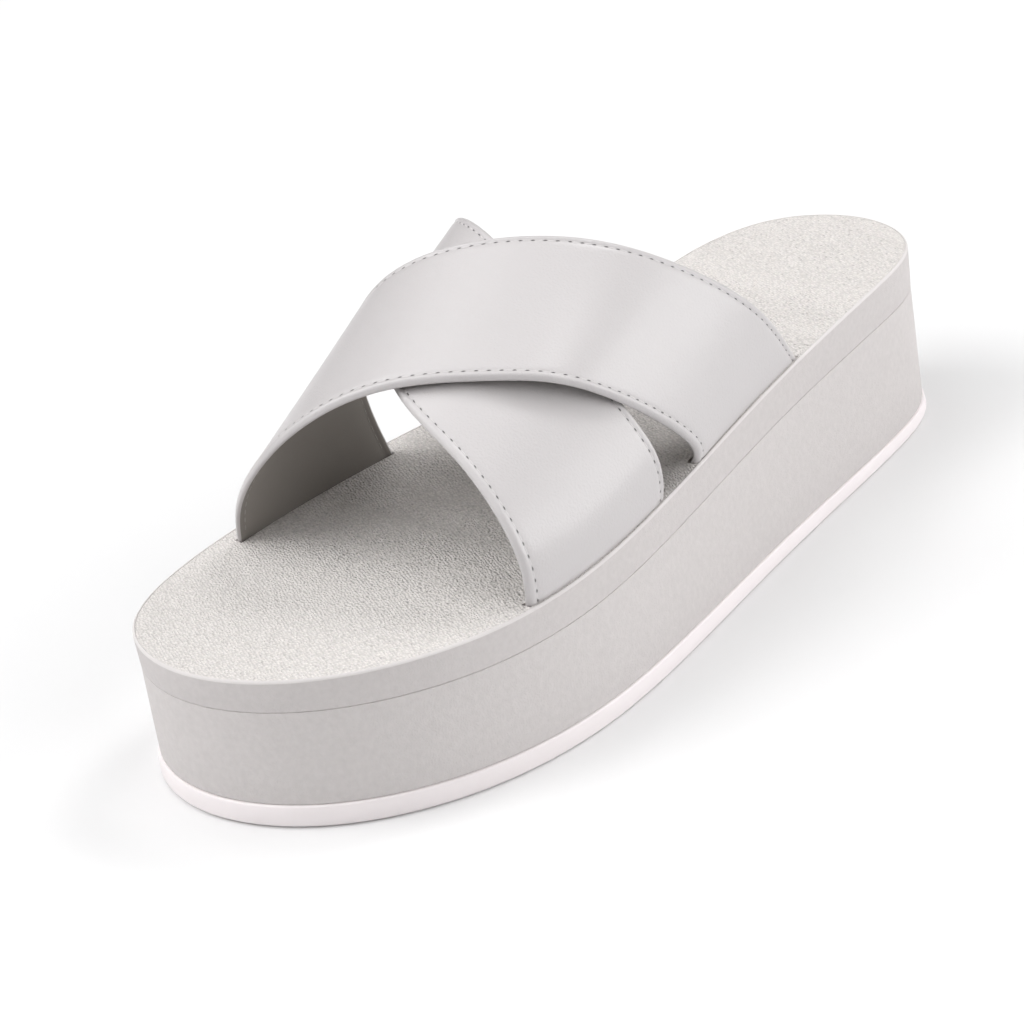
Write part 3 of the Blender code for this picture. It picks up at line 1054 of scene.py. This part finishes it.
def build_stitches(name, face):
    bpy.ops.object.select_all(action="DESELECT")
    bpy.ops.mesh.primitive_uv_sphere_add(
        segments=STITCH_SEGMENTS, ring_count=STITCH_RINGS, radius=0.5
    )
    first = bpy.context.object
    first.name = name + ("_stitches" if face > 0 else "_inner_stitches")
    first.scale = (STITCH_WIDTH * STITCH_FLATNESS, STITCH_WIDTH, STITCH_LENGTH)
    first.rotation_euler.y = math.pi / 2
    bpy.ops.object.transform_apply(location=True, rotation=True, scale=True)
    bpy.ops.object.shade_smooth()
    places = list(stitch_places(name, face))
    copies = []
    for place in places[1:]:
        copy = first.copy()
        copy.data = first.data.copy()
        copy.matrix_world = place
        bpy.context.collection.objects.link(copy)
        copies.append(copy)
    first.matrix_world = places[0]
    bpy.ops.object.select_all(action="DESELECT")
    for copy in copies + [first]:
        copy.select_set(True)
    bpy.context.view_layer.objects.active = first
    bpy.ops.object.join()
    bpy.ops.object.transform_apply(location=True, rotation=True, scale=True)
    return first


for name in SECTIONS:
    finish_piece(build_stitches(name, 1), "cross_straps", thread)
    finish_piece(build_stitches(name, -1), "cross_straps", inner_thread_painted_shade)

# %% [markdown]
# A maker glues the straps to each other where they cross. The glue is a thin pad between the over
# strap's inside and the under strap's outside. It starts as a sheet on the inside of the over strap,
# is extruded, and the new side is laid on the nearest points of the under strap.

# %% The bond between the straps
BOND_START = 0.475
BOND_END = 0.540
BOND_INSET = 0.010
BOND_SINK = 0.00005
BOND_CELLS = 12
glue = grained_material(
    "strap_glue", (0.50, 0.48, 0.46), roughness=0.60, fine=1500.0, depth=0.00003
)


def build_bond():
    def place(along, across):
        share = BOND_START + (BOND_END - BOND_START) * along
        return strap_point("over", share, "flat", BOND_INSET, across, -FOLD_SECTION[0][1])

    bond = wrapped_sheet("strap_bond", BOND_CELLS, BOND_CELLS, place)
    first_new = len(bond.data.vertices)
    bpy.ops.object.mode_set(mode="EDIT")
    bpy.ops.mesh.select_all(action="SELECT")
    bpy.ops.mesh.extrude_region_move()
    bpy.ops.object.mode_set(mode="OBJECT")
    for vertex in list(bond.data.vertices)[first_new:]:
        near, normal = straps["under"].closest_point_on_mesh(vertex.co)[1:3]
        vertex.co = near - normal * BOND_SINK
    bpy.ops.object.mode_set(mode="EDIT")
    bpy.ops.mesh.select_all(action="SELECT")
    bpy.ops.mesh.normals_make_consistent(inside=False)
    bpy.ops.object.mode_set(mode="OBJECT")
    return bond


finish_piece(build_bond(), "cross_straps", glue)

# %% [markdown]
# The strap ends go down through slots in the insole into pockets in the footbed. A box round each
# leg cuts both layers with a Boolean modifier that is then applied, and the boxes are removed. The
# pockets leave room for glue, but the cloth closes tightly round the leather.

# %% Slots and pockets
SLOT_ROOM = 0.00002
BOX_CUTS = 12


def leg_box(leg, room):
    front, back = FEET[leg]
    run = Vector(back - front).to_2d()
    floor = leg_end_height(leg) - CLEARANCE
    top = max(front[2], back[2]) + SEAT_DEPTH
    bpy.ops.object.select_all(action="DESELECT")
    bpy.ops.mesh.primitive_cube_add(size=1.0)
    box = bpy.context.object
    box.name = leg + "_box"
    box.scale = (STRAP_THICKNESS + 2 * room, run.length + room, top - floor)
    box.location = (*((front + back) / 2)[:2], (floor + top) / 2)
    box.rotation_euler.z = -Vector((0.0, 1.0)).angle_signed(run)
    bpy.ops.object.transform_apply(location=True, rotation=True, scale=True)
    bpy.ops.object.mode_set(mode="EDIT")
    bpy.ops.mesh.subdivide(number_cuts=BOX_CUTS)
    bpy.ops.object.mode_set(mode="OBJECT")
    for vertex in box.data.vertices:
        vertex.co.x += rim_follow(leg, vertex.co.y, vertex.co.z)
    return box


def cut_slots(piece, boxes):
    pick_only(piece)
    for box in boxes:
        cut = piece.modifiers.new("slot", "BOOLEAN")
        cut.operation = "DIFFERENCE"
        cut.solver = "EXACT"
        cut.object = box
        bpy.ops.object.modifier_apply(modifier=cut.name)


for layer, room in ((footbed, CLEARANCE), (insole, SLOT_ROOM)):
    boxes = [leg_box(leg, room) for leg in LEGS]
    cut_slots(layer, boxes)
    smooth(layer)
    for box in boxes:
        bpy.data.objects.remove(box, do_unlink=True)
finish_piece(footbed, "footbed", cover)

# %% [markdown]
# The rim's tight round top catches a thin line of light. Here that line is a painted highlight: the
# faces of the rim's top get a lighter and smoother copy of the cover.

# %% The rim's painted highlight
RIM_BEAD = 0.0007
RIM_LEAN = 0.1
rim_painted_highlight = grained_material(
    "footbed_rim_painted_highlight", (0.700, 0.667, 0.659), roughness=0.60, fine=2200.0, depth=0.00005
)
# Painted highlight: the faces of the rim's top get the lighter, smoother finish.
for face in footbed.data.polygons:
    if face.center.z > rim_height(face.center.y) - RIM_BEAD and face.normal.z > RIM_LEAN:
        face.material_index = 1
footbed.data.materials.append(rim_painted_highlight)
print("rim:", sum(face.material_index for face in footbed.data.polygons), "faces")

# %% [markdown]
# The insole's cloth is a bumpy knit with small pinholes. Its loops lie in slanting rows that are
# never quite regular. Two cell patterns make it: rounded cells for the loops, and small spots at the
# middles of a second, larger set of cells for the holes. Both are stretched along the slant, and a
# slow noise makes them wander. Besides their bump, the loops get painted light on their tops and
# painted shade between them, and the holes get a dip and painted shade. The grain's fine noise
# stands for the fibres.

# %% The insole's cloth
CLOTH_SPECULAR = 0.25
CLOTH_SHEEN = 0.10
CLOTH_SLANT = -27.0
CLOTH_STRETCH = (1.45, 1.0, 1.0)
WANDER_SCALE = 420.0
WANDER_REACH = (0.0006, 0.0006, 0.0)
LOOP_SCALE = 1500.0
LOOP_JITTER = 0.60
LOOP_SLOPE = 1.3
LOOP_PAINTED_LIGHT_AND_SHADE = 0.36
LOOP_FLOOR = 0.83
PINHOLE_SCALE = 960.0
PINHOLE_JITTER = 0.65
PINHOLE_SLOPE = 2.9
PINHOLE_PAINTED_SHADE = 0.23
PINHOLE_DEPTH = 0.8
WEAVE_DEPTH = 0.00035


def cells(tree, vector, scale, jitter):
    node = tree.nodes.new("ShaderNodeTexVoronoi")
    node.inputs["Scale"].default_value = scale
    node.inputs["Randomness"].default_value = jitter
    tree.links.new(vector, node.inputs["Vector"])
    return node.outputs["Distance"]


def falling(tree, value, slope):
    """One less the value times the slope, and never under zero."""
    return calc(tree, "SUBTRACT", 1.0, calc(tree, "MULTIPLY", value, slope), clamp=True)


def cloth_material():
    material = grained_material(
        "insole_cloth", (0.758, 0.722, 0.700), roughness=0.88,
        fine=5200.0, depth=0.00014, coarse=260.0, mottle=0.06,
    )
    tree = material.node_tree
    shader = tree.nodes["Principled BSDF"]
    shader.inputs["Specular IOR Level"].default_value = CLOTH_SPECULAR
    shader.inputs["Sheen Weight"].default_value = CLOTH_SHEEN
    slant = tree.nodes.new("ShaderNodeMapping")
    slant.vector_type = "TEXTURE"
    slant.inputs["Rotation"].default_value = (0.0, 0.0, math.radians(CLOTH_SLANT))
    slant.inputs["Scale"].default_value = CLOTH_STRETCH
    wander = tree.nodes.new("ShaderNodeTexNoise")
    wander.inputs["Scale"].default_value = WANDER_SCALE
    wander.inputs["Detail"].default_value = 1.0
    tree.links.new(object_place(tree), wander.inputs["Vector"])
    shift = tree.nodes.new("ShaderNodeVectorMath")
    shift.operation = "MULTIPLY_ADD"
    tree.links.new(wander.outputs["Color"], shift.inputs[0])
    shift.inputs[1].default_value = WANDER_REACH
    tree.links.new(object_place(tree), shift.inputs[2])
    tree.links.new(shift.outputs[0], slant.inputs["Vector"])
    dome = falling(tree, cells(tree, slant.outputs[0], LOOP_SCALE, LOOP_JITTER), LOOP_SLOPE)
    spot = falling(tree, cells(tree, slant.outputs[0], PINHOLE_SCALE, PINHOLE_JITTER), PINHOLE_SLOPE)
    # Painted shade in the pinholes, and painted light and shade on the loops.
    scale_shade(tree, falling(tree, spot, PINHOLE_PAINTED_SHADE))
    scale_shade(tree, calc(tree, "ADD", calc(tree, "MULTIPLY", dome, LOOP_PAINTED_LIGHT_AND_SHADE), LOOP_FLOOR))
    height = calc(tree, "SUBTRACT", dome, calc(tree, "MULTIPLY", spot, PINHOLE_DEPTH))
    add_relief(tree, height, WEAVE_DEPTH)
    return material


finish_piece(insole, "insole", cloth_material())

# %% [markdown]
# Last, the box of everything that was made is measured and printed.

# %% Measure and finish
visual_box = [list(corner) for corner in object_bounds()]
print("visual box", [[round(1000 * value, 1) for value in corner] for corner in visual_box])
